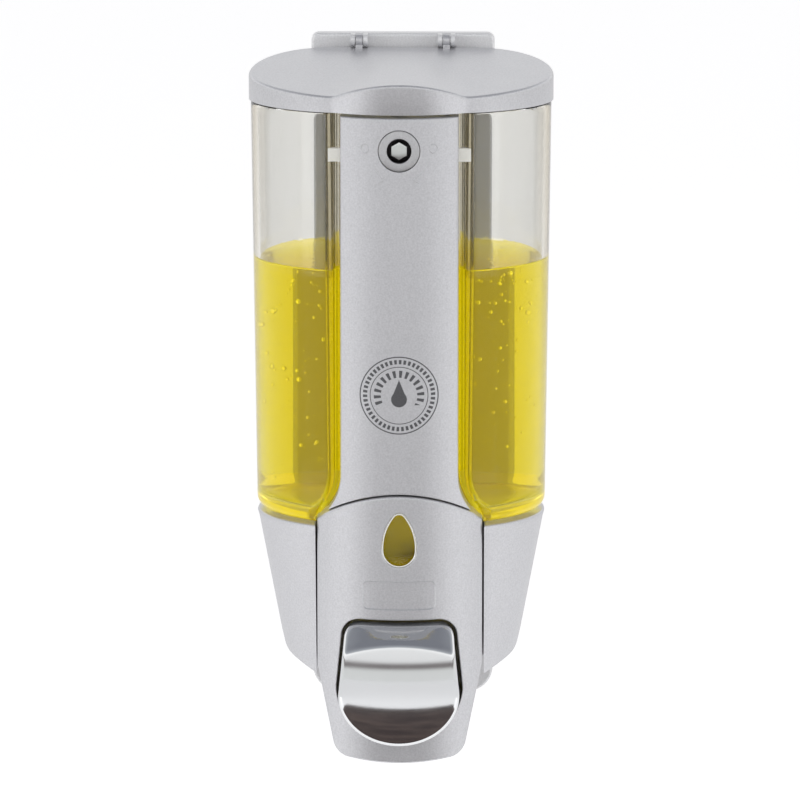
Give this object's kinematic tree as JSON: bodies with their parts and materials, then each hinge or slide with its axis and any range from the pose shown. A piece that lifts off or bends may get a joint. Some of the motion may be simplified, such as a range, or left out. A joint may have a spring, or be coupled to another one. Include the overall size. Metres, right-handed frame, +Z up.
{
  "type": "wall mounted soap dispenser",
  "caption": "Wall mounted liquid soap dispenser: clear tank in a silver frame, hinged lockable lid, chrome push button that works a piston pump, sight window.",
  "frame": {"origin": "middle of the wall plate's rear face, on the wall", "axes": "+Y into the wall, square to the wall plate's rear face; +Z up; the front of the dispenser looks along -Y"},
  "size_m": [0.0796, 0.0794, 0.1846],
  "materials": {
    "silver_plastic": "metallic silver paint, satin",
    "clear_plastic": "clear, polished",
    "liquid_soap": "clear yellow liquid",
    "chrome_plating": "bright chrome on plastic",
    "lock_steel": "nickel plated",
    "pin_steel": "drawn wire",
    "screw_steel": "zinc plated",
    "spring_steel": "stainless wire",
    "ball_steel": "polished stainless",
    "natural_nylon": "natural, satin",
    "white_plastic": "moulded, satin",
    "silicone_rubber": "soft, matte"
  },
  "bodies": {
    "frame": {"wall_plate": "silver_plastic", "lid_hinge_pins": "pin_steel", "tank": "clear_plastic", "soap_fill": "liquid_soap", "front_column": "silver_plastic", "column_screws": "screw_steel", "lock_retainer": "natural_nylon", "front_cover": "silver_plastic", "cover_screws": "screw_steel", "sight_window": "clear_plastic", "base_housing": "silver_plastic", "pump_body": "white_plastic", "pump_screws": "screw_steel", "pump_cap": "white_plastic", "return_spring": "spring_steel", "tank_outlet_gasket": "silicone_rubber", "pump_nut": "white_plastic", "inlet_valve_spring": "spring_steel", "nozzle": "white_plastic", "outlet_valve_spring": "spring_steel"},
    "lid": {"lid": "silver_plastic"},
    "lock": {"lock_barrel": "lock_steel", "lock_cam": "lock_steel", "lock_cam_screw": "screw_steel"},
    "button": {"push_button": "chrome_plating", "piston": "white_plastic", "piston_seal": "silicone_rubber"},
    "inlet_valve": {"inlet_valve_ball": "ball_steel"},
    "outlet_valve": {"outlet_valve_ball": "ball_steel"}
  },
  "joints": [
    {"name": "lid_hinge", "type": "hinge", "parent": "frame", "child": "lid", "pos_m": [0, -0.007, 0.0884], "axis": [-1, 0, 0], "range_deg": [0, 95]},
    {"name": "lock_turn", "type": "hinge", "parent": "frame", "child": "lock", "pos_m": [0, -0.0711, 0.0676], "axis": [0, 1, 0], "range_deg": [0, 90]},
    {"name": "button_push", "type": "slide", "parent": "frame", "child": "button", "axis": [0, 1, 0], "range_m": [0, 0.0055], "stiffness_N_per_m": 600, "springref_m": -0.004, "deforming": ["return_spring"]},
    {"name": "inlet_valve_lift", "type": "slide", "parent": "frame", "child": "inlet_valve", "axis": [0, 0, -1], "range_m": [0, 0.0012], "stiffness_N_per_m": 40, "springref_m": -0.0008, "deforming": ["inlet_valve_spring"]},
    {"name": "outlet_valve_lift", "type": "slide", "parent": "frame", "child": "outlet_valve", "axis": [0, 0, -1], "range_m": [0, 0.0012], "stiffness_N_per_m": 40, "springref_m": -0.0008, "deforming": ["outlet_valve_spring"]}
  ]
}
